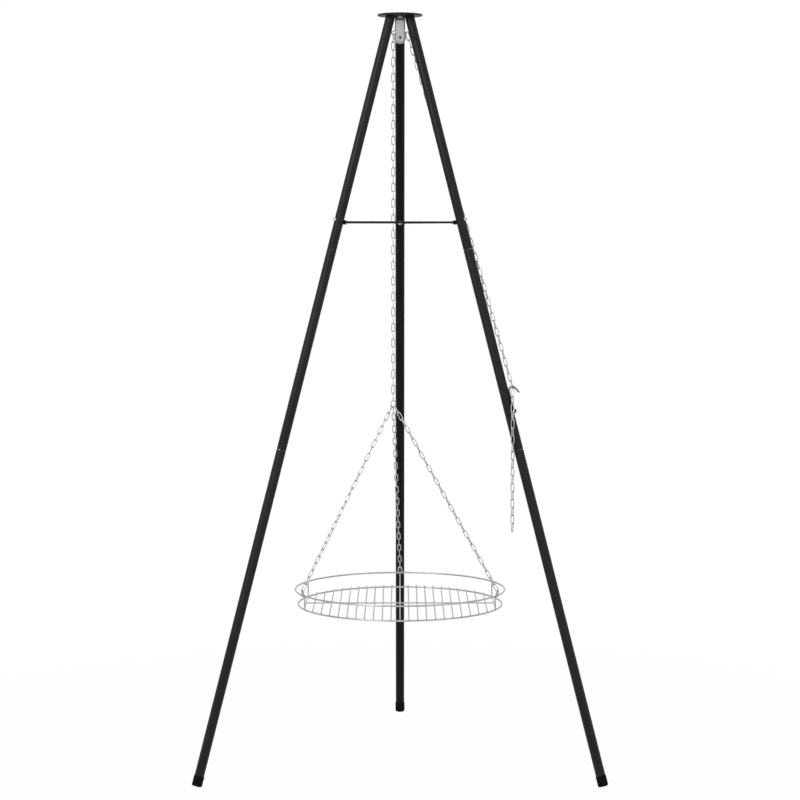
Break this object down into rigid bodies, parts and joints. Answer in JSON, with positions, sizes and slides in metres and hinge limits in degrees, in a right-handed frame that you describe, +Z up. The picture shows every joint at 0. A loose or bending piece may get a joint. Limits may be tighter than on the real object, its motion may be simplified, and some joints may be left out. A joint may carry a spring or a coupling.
{
  "type": "campfire tripod grate",
  "caption": "Free-standing black steel tripod with a round wire cooking grate hung on a chain over a pulley, hooked to one leg.",
  "frame": {"origin": "on the floor, at the middle of the box around the three feet", "axes": "+Z up; the rear leg points to +Y, the two front legs to -Y, left at -X and right at +X"},
  "size_m": [0.9442, 0.821, 1.7635],
  "materials": {
    "black_powder_coat": "satin",
    "bright_zinc": "bright",
    "black_rubber": "matte",
    "dark_steel": "satin"
  },
  "bodies": {
    "tripod": {"axle_washers": "bright_zinc", "back_chain": "bright_zinc", "chain_hook": "dark_steel", "foot_cap_left": "black_rubber", "foot_cap_rear": "black_rubber", "foot_cap_right": "black_rubber", "head_bolt": "bright_zinc", "head_nut": "bright_zinc", "head_plate": "black_powder_coat", "head_stub_left": "black_powder_coat", "head_stub_rear": "black_powder_coat", "head_stub_right": "black_powder_coat", "hook_screw": "dark_steel", "leg_lower_left": "black_powder_coat", "leg_lower_rear": "black_powder_coat", "leg_lower_right": "black_powder_coat", "leg_middle_left": "black_powder_coat", "leg_middle_rear": "black_powder_coat", "leg_middle_right": "black_powder_coat", "leg_upper_left": "black_powder_coat", "leg_upper_rear": "black_powder_coat", "leg_upper_right": "black_powder_coat", "pulley_axle": "bright_zinc", "pulley_chain": "bright_zinc", "pulley_yoke": "bright_zinc", "spreader_bar_front": "black_powder_coat", "spreader_bar_rear_left": "black_powder_coat", "spreader_bar_rear_right": "black_powder_coat", "spreader_nuts": "bright_zinc", "spreader_screws": "bright_zinc", "spreader_washers": "bright_zinc", "yoke_nut": "bright_zinc"},
    "pulley": {"pulley_wheel": "bright_zinc"},
    "top_link": {"chain_top_link": "bright_zinc"},
    "chain_drop": {"main_chain": "bright_zinc"},
    "hoist_link": {"chain_end_link": "bright_zinc"},
    "grate": {"joining_link": "bright_zinc", "grate_chain_rear": "bright_zinc", "grate_chain_left": "bright_zinc", "grate_chain_right": "bright_zinc", "upper_ring": "bright_zinc", "lower_ring": "bright_zinc", "grate_rods": "bright_zinc", "support_rod_left": "bright_zinc", "support_rod_centre": "bright_zinc", "support_rod_right": "bright_zinc", "cross_bar": "bright_zinc", "hanger_eye_rear": "bright_zinc", "hanger_eye_left": "bright_zinc", "hanger_eye_right": "bright_zinc"},
    "spare_end": {"spare_chain": "bright_zinc"}
  },
  "joints": [
    {"name": "pulley_turn", "type": "hinge", "parent": "tripod", "child": "pulley", "pos_m": [0, -0.13278, 1.706], "axis": [0, 1, 0], "continuous": true},
    {"name": "swing_sideways", "type": "hinge", "parent": "tripod", "child": "top_link", "pos_m": [-0.0159, -0.13278, 1.69376], "axis": [0, 1, 0], "range_deg": [-3, 3]},
    {"name": "swing_front_back", "type": "hinge", "parent": "top_link", "child": "chain_drop", "pos_m": [-0.0159, -0.13278, 1.67553], "axis": [1, 0, 0], "range_deg": [-3, 3]},
    {"name": "hoist", "type": "slide", "parent": "chain_drop", "child": "hoist_link", "axis": [0, 0, 1], "range_m": [0, 0.11], "deforming": ["main_chain"]},
    {"name": "grate_turn", "type": "hinge", "parent": "hoist_link", "child": "grate", "pos_m": [-0.0159, -0.13278, 0.8576], "axis": [0, 0, 1], "range_deg": [-38, 38]},
    {"name": "spare_end_swing", "type": "hinge", "parent": "tripod", "child": "spare_end", "pos_m": [0.25794, -0.2817, 0.90013], "axis": [-0.866, 0.5, 0], "range_deg": [0, 30]}
  ],
  "couplings": [
    {"joint": "pulley_turn", "follows": "hoist", "rad_per_m": 62.9}
  ]
}
